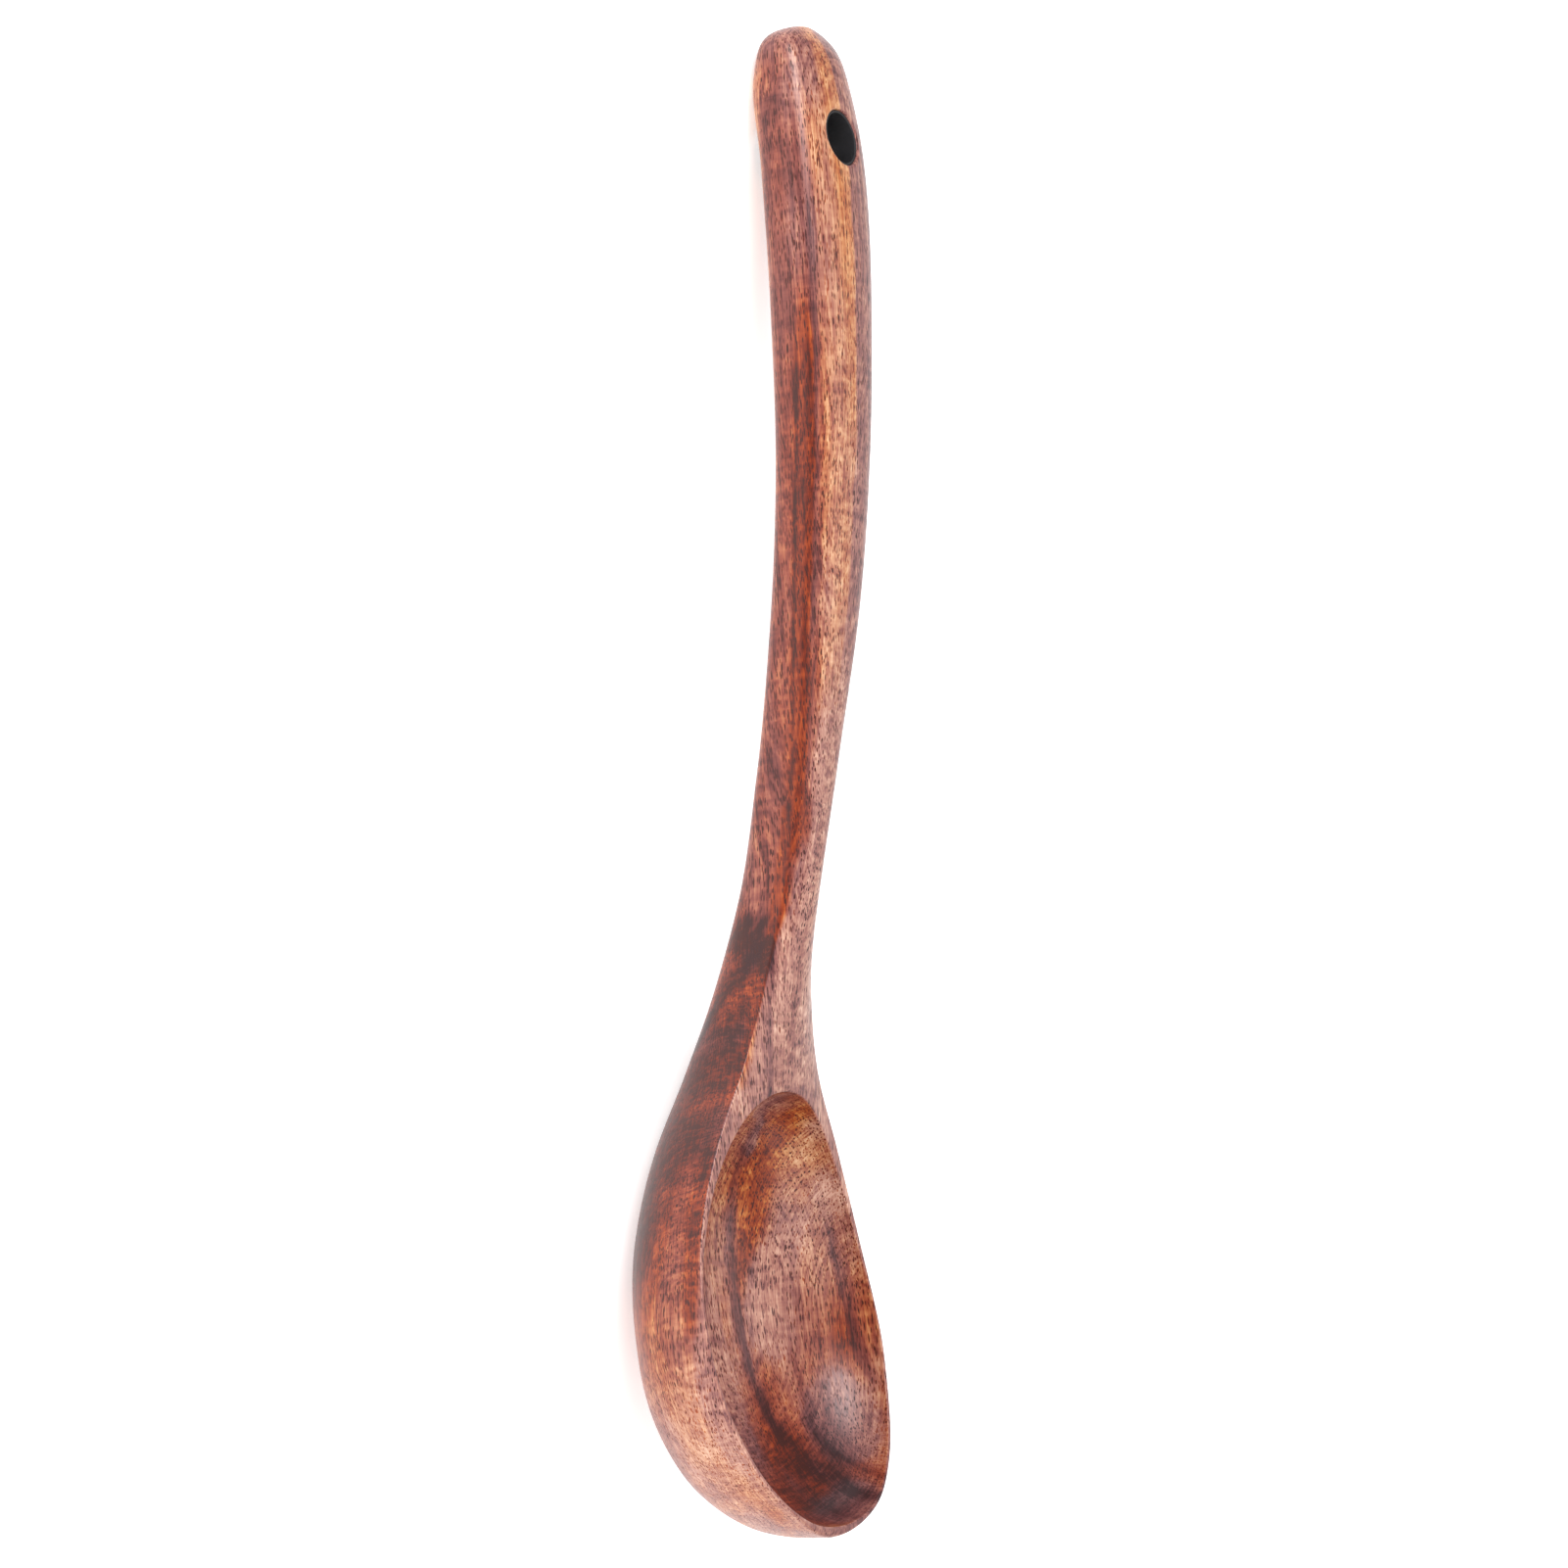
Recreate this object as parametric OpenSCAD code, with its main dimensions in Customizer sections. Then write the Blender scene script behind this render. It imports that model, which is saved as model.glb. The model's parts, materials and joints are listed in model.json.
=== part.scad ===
// Carved wooden ladle spoon: one carved body with a deep oval bowl, a narrow neck and a thick rounded
// handle, and a black sleeve that lines the hanging hole.
//
// The spoon lies on a table on the underside of its bowl and of its handle's end. +X points to the
// bowl's tip, +Z up, and the origin is on the table below the middle of the spoon.
//
// The body is lofted along its blank: cross-sections stand at stations from the bowl's tip (0) to the
// handle's end (1), and the blank is then tilted until it rests on the table.

/* [Spoon] */
// Length along the blank, from the bowl's tip to the handle's end
spoon_l = 260; // [220:5:300]
// Height of the handle's crest above the level of the bowl's tip, along the blank
arch_h = 23; // [16:0.5:28]

/* [Bowl] */
// Width of the bowl at its widest
bowl_w = 57; // [50:0.5:64]
// Thickness of the bowl from rim to underside, at its deepest
bowl_t = 24.6; // [22:0.2:28]
// Width of the hollow at its widest
hollow_w = 55.4; // [48:0.2:55.4]
// Length of the hollow
hollow_l = 74.4; // [66:0.2:76]
// Depth of the hollow below its rim
hollow_d = 18; // [12:0.5:19]
// Wood between the bowl's tip and the hollow
tip_rim = 1.7; // [1.4:0.1:3]

/* [Neck and handle] */
// Width of the neck at its narrowest
neck_w = 10.4; // [9:0.2:14]
// Crown of the neck's top face
neck_crown = 2.1; // [0.6:0.1:3]
// Width of the handle at its widest
handle_w = 22; // [18:0.5:26]
// Thickness of the handle
handle_t = 13; // [11:0.2:16]

/* [Hanging hole] */
// Diameter of the drilled hole
hole_d = 10; // [7:0.5:11]
// Place of the hole's centre along the blank, as a part of the spoon's length
hole_place = 0.919; // [0.9:0.001:0.93]
// Wall of the sleeve that lines the hole
liner_wall = 0.5; // [0.4:0.1:1.2]
// How far the sleeve's ends stay below the handle's faces
liner_inset = 0.6; // [0.5:0.1:1.5]

/* [Hidden] */

// Width along the blank: [station, width]
WIDTH = [
    [0, 0],
    [0.01, 0.36 * bowl_w],
    [0.03, 0.64 * bowl_w],
    [0.08, 0.925 * bowl_w],
    [0.14, bowl_w],
    [0.20, 0.895 * bowl_w],
    [0.26, 0.67 * bowl_w],
    [0.31, 0.42 * bowl_w],
    [0.36, 0.27 * bowl_w],
    [0.42, neck_w],
    [0.50, 1.1 * neck_w],
    [0.60, 0.75 * handle_w],
    [0.70, 0.86 * handle_w],
    [0.80, 0.92 * handle_w],
    [0.90, handle_w],
    [0.965, 0.89 * handle_w],
    [0.99, 0.75 * handle_w],
    [1, 0],
];
// Thickness along the blank: [station, thickness]
THICKNESS = [
    [0, 0],
    [0.01, 0.6 * bowl_t],
    [0.03, 0.84 * bowl_t],
    [0.08, bowl_t],
    [0.14, bowl_t],
    [0.20, 0.97 * bowl_t],
    [0.26, 0.9 * bowl_t],
    [0.31, 0.785 * bowl_t],
    [0.36, 0.665 * bowl_t],
    [0.42, 0.585 * bowl_t],
    [0.50, 1.03 * handle_t],
    [0.60, 0.98 * handle_t],
    [0.70, 0.99 * handle_t],
    [0.80, 1.07 * handle_t],
    [0.90, 1.06 * handle_t],
    [0.965, 0.985 * handle_t],
    [0.99, 0.63 * handle_t],
    [1, 0],
];
// Height of the top centre line along the blank: [station, height]
HEIGHT = [
    [0, -0.05 * arch_h],
    [0.02, -0.015 * arch_h],
    [0.05, -0.08 * arch_h],
    [0.12, -0.205 * arch_h],
    [0.20, -0.25 * arch_h],
    [0.28, -0.15 * arch_h],
    [0.36, 0.03 * arch_h],
    [0.44, 0.275 * arch_h],
    [0.52, 0.49 * arch_h],
    [0.62, 0.725 * arch_h],
    [0.72, 0.89 * arch_h],
    [0.82, 0.99 * arch_h],
    [0.91, arch_h],
    [0.965, 0.935 * arch_h],
    [1, 0.76 * arch_h],
];
// Width of the hollow along its own length: [station from the tip side, width]
HOLLOW_WIDTH = [
    [0, 0],
    [0.1, 0.67 * hollow_w],
    [0.3, 0.955 * hollow_w],
    [0.5, hollow_w],
    [0.7, 0.85 * hollow_w],
    [0.9, 0.525 * hollow_w],
    [1, 0],
];

// Superellipse powers of the bowl's underside and of the handle
BOWL_POWER = 2.4;
HANDLE_POWER = 2.8;
// Roundness of the hollow, across and along
HOLLOW_ACROSS = 0.6;
HOLLOW_ALONG = 0.8;
// Stations between which the neck's top face gains its crown
CROWN_STATIONS = [0.12, 0.36];
// Stations between which the crisp top edges melt into the rounded handle
ROUND_STATIONS = [0.34, 0.50];

// Cross-sections: on the tip, over the hollow, along the neck and handle, and round the handle's end
TIP_N = 4;
HOLLOW_N = 44;
HANDLE_N = 50;
END_N = 12;
END_STATION = 0.9;
// Steps round half a cross-section: under the spoon, over its top face and across the hollow
UNDER_STEPS = 12;
FACE_STEPS = 6;
HOLLOW_STEPS = 8;
HOLE_FN = 96;

// Stations become angles, 0 at the start and 180 at the end, so that the ends come out round
function angle(station) = acos(1 - 2 * station);
function by_angle(table) = [for (row = table) [angle(row[0]), row[1]]];

// Slope of a table at its row i, from the parabola through that row and its neighbours
function chord(p, i) = (p[i + 1][1] - p[i][1]) / (p[i + 1][0] - p[i][0]);
function mid_slope(p, i) =
    let (a = p[i][0] - p[i - 1][0], b = p[i + 1][0] - p[i][0])
    (chord(p, i - 1) * b + chord(p, i) * a) / (a + b);
function slope(p, i, flat_ends) =
    i > 0 && i < len(p) - 1 ? mid_slope(p, i)
    : flat_ends ? 0
    : i == 0 ? 1.5 * chord(p, 0) - 0.5 * mid_slope(p, 1)
    : 1.5 * chord(p, i - 1) - 0.5 * mid_slope(p, i - 1);

// Smooth curve through a table: cubic pieces that share their slopes
function curve(p, t, flat_ends = false) =
    let (
        i = max([for (k = [0:len(p) - 2]) if (k == 0 || p[k][0] <= t) k]),
        span = p[i + 1][0] - p[i][0],
        u = (t - p[i][0]) / span,
        v = 1 - u
    )
    p[i][1] * (1 + 2 * u) * v * v
    + p[i + 1][1] * (3 - 2 * u) * u * u
    + slope(p, i, flat_ends) * span * u * v * v
    - slope(p, i + 1, flat_ends) * span * u * u * v;

// Smooth step from 0 at ends[0] to 1 at ends[1]
function ramp(ends, x) =
    let (u = min(1, max(0, (x - ends[0]) / (ends[1] - ends[0]))))
    u * u * (3 - 2 * u);

WIDTH_CURVE = by_angle(WIDTH);
THICKNESS_CURVE = by_angle(THICKNESS);
HEIGHT_CURVE = by_angle(HEIGHT);
HOLLOW_CURVE = by_angle(HOLLOW_WIDTH);

function width(a) = curve(WIDTH_CURVE, a);
function thickness(a) = curve(THICKNESS_CURVE, a);
function height(a) = curve(HEIGHT_CURVE, a, flat_ends = true);

// Cross-section angles along the blank, each with the angle along the hollow (0 outside it)
HOLLOW_END = (tip_rim + hollow_l) / spoon_l;
STATIONS = [
    for (i = [0:TIP_N - 1]) [angle(tip_rim / spoon_l) * i / TIP_N, 0],
    for (i = [0:HOLLOW_N])
        let (b = 180 * i / HOLLOW_N)
        [angle((tip_rim + hollow_l * (1 - cos(b)) / 2) / spoon_l), b],
    for (i = [1:HANDLE_N])
        [angle(HOLLOW_END + (END_STATION - HOLLOW_END) * i / HANDLE_N), 0],
    for (i = [1:END_N]) [angle(END_STATION) + (180 - angle(END_STATION)) * i / END_N, 0],
];

// Half a cross-section on the +Y side, from the keel over the edge to the middle of the top
function half_section(a, b) =
    let (
        station = (1 - cos(a)) / 2,
        x = spoon_l * station,
        half_w = width(a) / 2,
        t = thickness(a),
        top = height(a),
        crown = neck_crown * ramp(CROWN_STATIONS, station),
        edge = top - crown,
        middle = top - t / 2,
        round = ramp(ROUND_STATIONS, station),
        hollow = curve(HOLLOW_CURVE, b) / 2,
        depth = hollow_d * pow(sin(b), HOLLOW_ALONG),
        under = [
            for (i = [0:UNDER_STEPS])
                let (
                    f = 90 * i / UNDER_STEPS,
                    bowl_y = pow(sin(f), 2 / BOWL_POWER) * half_w,
                    bowl_z = edge - pow(cos(f), 2 / BOWL_POWER) * (t - crown),
                    handle_y = pow(sin(f), 2 / HANDLE_POWER) * half_w,
                    handle_z = middle - pow(cos(f), 2 / HANDLE_POWER) * t / 2
                )
                [x, bowl_y + (handle_y - bowl_y) * round, bowl_z + (handle_z - bowl_z) * round]
        ],
        face = [
            for (i = [1:FACE_STEPS])
                let (
                    f = 90 * i / FACE_STEPS,
                    bowl_y = hollow + (half_w - hollow) * cos(f),
                    bowl_z = edge + crown * (1 - pow(bowl_y / max(half_w, 0.01), 2)),
                    handle_y = pow(cos(f), 2 / HANDLE_POWER) * half_w,
                    handle_z = middle + pow(sin(f), 2 / HANDLE_POWER) * t / 2
                )
                [x, bowl_y + (handle_y - bowl_y) * round, bowl_z + (handle_z - bowl_z) * round]
        ],
        rim = face[FACE_STEPS - 1],
        inside = [
            for (i = [1:HOLLOW_STEPS])
                let (v = cos(90 * i / HOLLOW_STEPS))
                [x, rim[1] * v, rim[2] - depth * pow(1 - v * v, HOLLOW_ACROSS)]
        ]
    )
    concat(under, face, inside);

// Whole cross-section: the +Y half, then the -Y half from the top's middle back to the keel
function section(s) =
    let (half = half_section(s[0], s[1]), last = len(half) - 1)
    concat(half, [for (i = [last - 1:-1:1]) [half[i][0], -half[i][1], half[i][2]]]);

// Tilt that lays the blank on the table: the steepest line from the bowl's keel that clears the handle
SECTIONS = [for (s = STATIONS) section(s)];
KEEL = [for (s = SECTIONS) s[0]];
BOWL_KEEL = [for (p = KEEL) if (p[0] < spoon_l / 2) p];
HANDLE_KEEL = [for (p = KEEL) if (p[0] > spoon_l / 2) p];
TILT = atan(max([
    for (b = BOWL_KEEL) min([for (h = HANDLE_KEEL) (h[2] - b[2]) / (h[0] - b[0])])
]));

// A point of the blank turned onto the table, +X to the bowl's tip
function turned(p) =
    [-p[0] * cos(TILT) - p[2] * sin(TILT), p[1], p[2] * cos(TILT) - p[0] * sin(TILT)];
TURNED = [for (s = SECTIONS) [for (p = s) turned(p)]];
ALL_X = [for (s = TURNED) for (p = s) p[0]];
ALL_Z = [for (s = TURNED) for (p = s) p[2]];
SHIFT = [-(min(ALL_X) + max(ALL_X)) / 2, 0, -min(ALL_Z)];

RING = len(SECTIONS[0]);
BODY_POINTS = [for (s = TURNED) for (p = s) p + SHIFT];
BODY_FACES = [
    for (i = [0:len(SECTIONS) - 2])
        for (j = [0:RING - 1])
            let (k = (j + 1) % RING, near = i * RING, far = near + RING)
            each [[near + j, far + k, far + j], [near + j, near + k, far + k]],
];

// The hole stands square to the handle's top face, through the middle of its thickness
HOLE_ANGLE = angle(hole_place);
HOLE_STEP = 1;
HOLE_SLOPE = atan(
    (height(HOLE_ANGLE + HOLE_STEP) - height(HOLE_ANGLE - HOLE_STEP))
    / (spoon_l * (cos(HOLE_ANGLE - HOLE_STEP) - cos(HOLE_ANGLE + HOLE_STEP)) / 2)
);
HOLE_TILT = HOLE_SLOPE - TILT;
HOLE_T = thickness(HOLE_ANGLE);
HOLE_MIDDLE = SHIFT + turned([hole_place * spoon_l, 0, height(HOLE_ANGLE) - HOLE_T / 2]);

module at_hole() {
    translate(HOLE_MIDDLE)
        rotate([0, HOLE_TILT, 0])
            children();
}

module spoon() {
    color("sienna")
        difference() {
            polyhedron(points = BODY_POINTS, faces = BODY_FACES, convexity = 6);
            at_hole()
                cylinder(h = 3 * HOLE_T, d = hole_d, center = true, $fn = HOLE_FN);
        }
}

module hanging_hole_liner() {
    liner_l = HOLE_T - 2 * liner_inset;
    color("black")
        at_hole()
            difference() {
                cylinder(h = liner_l, d = hole_d, center = true, $fn = HOLE_FN);
                cylinder(h = 2 * liner_l, d = hole_d - 2 * liner_wall, center = true, $fn = HOLE_FN);
            }
}

spoon();
hanging_hole_liner();
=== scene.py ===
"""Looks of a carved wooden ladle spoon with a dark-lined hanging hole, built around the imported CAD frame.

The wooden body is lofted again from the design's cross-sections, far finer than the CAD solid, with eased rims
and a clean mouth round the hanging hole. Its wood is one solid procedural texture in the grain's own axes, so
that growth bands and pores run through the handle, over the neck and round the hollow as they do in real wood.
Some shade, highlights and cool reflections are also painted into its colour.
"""

import json
import math

import bpy
import numpy as np
from mathutils import Matrix, Vector


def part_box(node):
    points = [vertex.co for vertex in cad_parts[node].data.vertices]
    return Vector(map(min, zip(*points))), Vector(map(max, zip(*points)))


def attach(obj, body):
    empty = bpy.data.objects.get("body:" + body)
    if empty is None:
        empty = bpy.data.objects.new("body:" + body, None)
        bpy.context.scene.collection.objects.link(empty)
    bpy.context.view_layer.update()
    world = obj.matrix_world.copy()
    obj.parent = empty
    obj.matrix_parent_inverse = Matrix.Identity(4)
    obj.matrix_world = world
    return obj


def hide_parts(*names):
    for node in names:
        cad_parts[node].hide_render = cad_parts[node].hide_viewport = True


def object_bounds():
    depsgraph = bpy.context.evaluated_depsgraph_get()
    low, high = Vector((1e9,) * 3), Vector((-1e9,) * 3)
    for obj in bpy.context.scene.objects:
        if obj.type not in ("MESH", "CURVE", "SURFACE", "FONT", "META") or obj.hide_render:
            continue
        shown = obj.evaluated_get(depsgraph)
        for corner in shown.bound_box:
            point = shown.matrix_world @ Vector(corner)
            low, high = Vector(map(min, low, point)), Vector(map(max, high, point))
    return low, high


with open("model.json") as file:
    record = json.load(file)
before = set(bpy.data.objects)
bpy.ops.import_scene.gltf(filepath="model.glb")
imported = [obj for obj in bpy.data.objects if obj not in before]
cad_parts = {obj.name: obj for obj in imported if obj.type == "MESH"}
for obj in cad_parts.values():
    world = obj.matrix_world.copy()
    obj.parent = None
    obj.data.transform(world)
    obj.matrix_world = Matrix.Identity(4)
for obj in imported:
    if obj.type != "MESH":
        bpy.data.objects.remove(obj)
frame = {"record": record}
cad_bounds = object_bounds()

MM = 0.001  # metres in a millimetre; the shape below is worked out in millimetres

# ---------------------------------------------------------------- driving dimensions of the body, millimetres
SPOON_L = 260.0
ARCH_H = 23.0
BOWL_W = 57.0
BOWL_T = 24.6
HOLLOW_W = 55.4
HOLLOW_L = 74.4
HOLLOW_D = 18.0
TIP_RIM = 1.7
NECK_W = 10.4
NECK_CROWN = 2.1
HANDLE_W = 22.0
HANDLE_T = 13.0

# Superellipse powers and where one kind of cross-section turns into the other, as stations from 0 to 1
BOWL_POWER = 2.4
HANDLE_POWER = 2.8
HOLLOW_ACROSS = 0.6
HOLLOW_ALONG = 0.8
CROWN_STATIONS = (0.12, 0.36)
ROUND_STATIONS = (0.34, 0.50)

# The finer surface bulges 0.01 mm past the CAD's flat faces, so it is scaled about the middle to stay inside them
SHRINK = 0.9998
BOX_MIDDLE = (Vector(cad_bounds[0]) + Vector(cad_bounds[1])) / 2
INSIDE_CAD = Matrix.Translation(BOX_MIDDLE) @ Matrix.Scale(SHRINK, 4) @ Matrix.Translation(-BOX_MIDDLE)

# How far the rim's outer edge, the hollow's edge, the hole's mouths and the sleeve's ends are eased
RIM_EASE = 0.42
HOLLOW_EASE = 0.34
MOUTH_EASE = 0.40
SLEEVE_EASE = 0.12

# Rings of the mesh on the tip, over the hollow, along the handle and round its end
TIP_RINGS, HOLLOW_RINGS, HANDLE_RINGS, END_RINGS = 12, 150, 250, 30
END_STATION = 0.9
HANDLE_SPREAD = 1.25  # above 1, the handle's rings spread out away from the hollow
# Steps round half a ring: underside, top face and hollow
UNDER_STEPS, FACE_STEPS, HOLLOW_STEPS = 28, 28, 30
# Where the columns on the top face stop crowding at the rim's edges
CROWDING_STATIONS = (0.30, ROUND_STATIONS[0])
# The windows round the hole: margin along the blank, columns kept clear at each side, and rings that fill them
WINDOW_MARGIN = 3.4
WINDOW_COLUMNS = 12
WINDOW_RINGS = 7
WINDOW_SPREAD = 1.3
MOUTH_ANGLES = (18, 36, 54, 72, 90)
# Columns round the sleeve and steps round each of its eased edges
SLEEVE_COLUMNS, SLEEVE_EASE_STEPS = 120, 4

WIDTH = (
    (0, 0),
    (0.01, 0.36 * BOWL_W),
    (0.03, 0.64 * BOWL_W),
    (0.08, 0.925 * BOWL_W),
    (0.14, BOWL_W),
    (0.20, 0.895 * BOWL_W),
    (0.26, 0.67 * BOWL_W),
    (0.31, 0.42 * BOWL_W),
    (0.36, 0.27 * BOWL_W),
    (0.42, NECK_W),
    (0.50, 1.1 * NECK_W),
    (0.60, 0.75 * HANDLE_W),
    (0.70, 0.86 * HANDLE_W),
    (0.80, 0.92 * HANDLE_W),
    (0.90, HANDLE_W),
    (0.965, 0.89 * HANDLE_W),
    (0.99, 0.75 * HANDLE_W),
    (1, 0),
)
THICKNESS = (
    (0, 0),
    (0.01, 0.6 * BOWL_T),
    (0.03, 0.84 * BOWL_T),
    (0.08, BOWL_T),
    (0.14, BOWL_T),
    (0.20, 0.97 * BOWL_T),
    (0.26, 0.9 * BOWL_T),
    (0.31, 0.785 * BOWL_T),
    (0.36, 0.665 * BOWL_T),
    (0.42, 0.585 * BOWL_T),
    (0.50, 1.03 * HANDLE_T),
    (0.60, 0.98 * HANDLE_T),
    (0.70, 0.99 * HANDLE_T),
    (0.80, 1.07 * HANDLE_T),
    (0.90, 1.06 * HANDLE_T),
    (0.965, 0.985 * HANDLE_T),
    (0.99, 0.63 * HANDLE_T),
    (1, 0),
)
HEIGHT = (
    (0, -0.05 * ARCH_H),
    (0.02, -0.015 * ARCH_H),
    (0.05, -0.08 * ARCH_H),
    (0.12, -0.205 * ARCH_H),
    (0.20, -0.25 * ARCH_H),
    (0.28, -0.15 * ARCH_H),
    (0.36, 0.03 * ARCH_H),
    (0.44, 0.275 * ARCH_H),
    (0.52, 0.49 * ARCH_H),
    (0.62, 0.725 * ARCH_H),
    (0.72, 0.89 * ARCH_H),
    (0.82, 0.99 * ARCH_H),
    (0.91, ARCH_H),
    (0.965, 0.935 * ARCH_H),
    (1, 0.76 * ARCH_H),
)
HOLLOW_WIDTH = (
    (0, 0),
    (0.1, 0.67 * HOLLOW_W),
    (0.3, 0.955 * HOLLOW_W),
    (0.5, HOLLOW_W),
    (0.7, 0.85 * HOLLOW_W),
    (0.9, 0.525 * HOLLOW_W),
    (1, 0),
)


# ---------------------------------------------------------------- curves
def angle(station):
    """A station from 0 to 1 as an angle from 0 to pi, so that both ends come out round."""
    return np.arccos(np.clip(1 - 2 * np.asarray(station, float), -1, 1))


def curve(table, at, flat_ends=False):
    """Smooth curve through a table of (station, value) at the angles given."""
    knots = angle([row[0] for row in table])
    values = np.array([row[1] for row in table], float)
    spans = np.diff(knots)
    chords = np.diff(values) / spans
    slopes = np.zeros(len(knots))
    slopes[1:-1] = (chords[:-1] * spans[1:] + chords[1:] * spans[:-1]) / (spans[:-1] + spans[1:])
    if not flat_ends:
        slopes[0] = 1.5 * chords[0] - 0.5 * slopes[1]
        slopes[-1] = 1.5 * chords[-1] - 0.5 * slopes[-2]
    at = np.asarray(at, float)
    i = np.clip(np.searchsorted(knots, at, side="right") - 1, 0, len(knots) - 2)
    u = (at - knots[i]) / spans[i]
    v = 1 - u
    return (
        values[i] * (1 + 2 * u) * v * v
        + values[i + 1] * (3 - 2 * u) * u * u
        + slopes[i] * spans[i] * u * v * v
        - slopes[i + 1] * spans[i] * u * u * v
    )


def ramp(ends, x):
    """Smooth step from 0 at ends[0] to 1 at ends[1]."""
    u = np.clip((np.asarray(x, float) - ends[0]) / (ends[1] - ends[0]), 0, 1)
    return u * u * (3 - 2 * u)


def half_width(x):
    return curve(WIDTH, angle(x / SPOON_L)) / 2


def thickness(x):
    return curve(THICKNESS, angle(x / SPOON_L))


def top_height(x):
    return curve(HEIGHT, angle(x / SPOON_L), flat_ends=True)


def ease_drop(distance, radius):
    """How far an eased edge has dropped at a distance inside it: a quarter circle of the radius."""
    reach = np.clip(distance, 0, radius)
    return radius - np.sqrt(np.maximum(2 * radius * reach - reach * reach, 0))


# ---------------------------------------------------------------- the body, in the blank's own axes
def stations():
    """Places of the rings along the blank, and the angle along the hollow of each (0 outside it)."""
    hollow_end = TIP_RIM + HOLLOW_L
    tip_angles = np.linspace(0, angle(TIP_RIM / SPOON_L), TIP_RINGS + 1)[:-1]
    end_angles = np.linspace(angle(END_STATION), math.pi, END_RINGS + 1)[1:]
    tip, end = ([(SPOON_L * (1 - math.cos(a)) / 2, 0.0) for a in part] for part in (tip_angles, end_angles))
    bowl = [(TIP_RIM + HOLLOW_L * (1 - math.cos(a)) / 2, a) for a in np.linspace(0, math.pi, HOLLOW_RINGS + 1)]
    # The first rings past the hollow keep its fine spacing, so that its eased edge is round there too
    past = np.linspace(0, 1, HANDLE_RINGS + 1)[1:]
    handle = [(hollow_end + (END_STATION * SPOON_L - hollow_end) * p**HANDLE_SPREAD, 0.0) for p in past]
    table = np.array(tip + bowl + handle + end)
    return table[:, 0], table[:, 1]


def outline_distance(points, outline):
    """Distance in plan from each point to a closed outline."""
    along = np.roll(outline, -1, axis=0) - outline
    length2 = np.maximum((along**2).sum(1), 1e-12)
    best = np.full(len(points), np.inf)
    for block in np.array_split(np.arange(len(points)), max(1, len(points) // 2000)):
        offset = points[block][:, None, :] - outline[None]
        u = np.clip((offset * along[None]).sum(2) / length2, 0, 1)
        gap = offset - u[..., None] * along[None]
        best[block] = np.sqrt((gap**2).sum(2).min(1))
    return best


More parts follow.
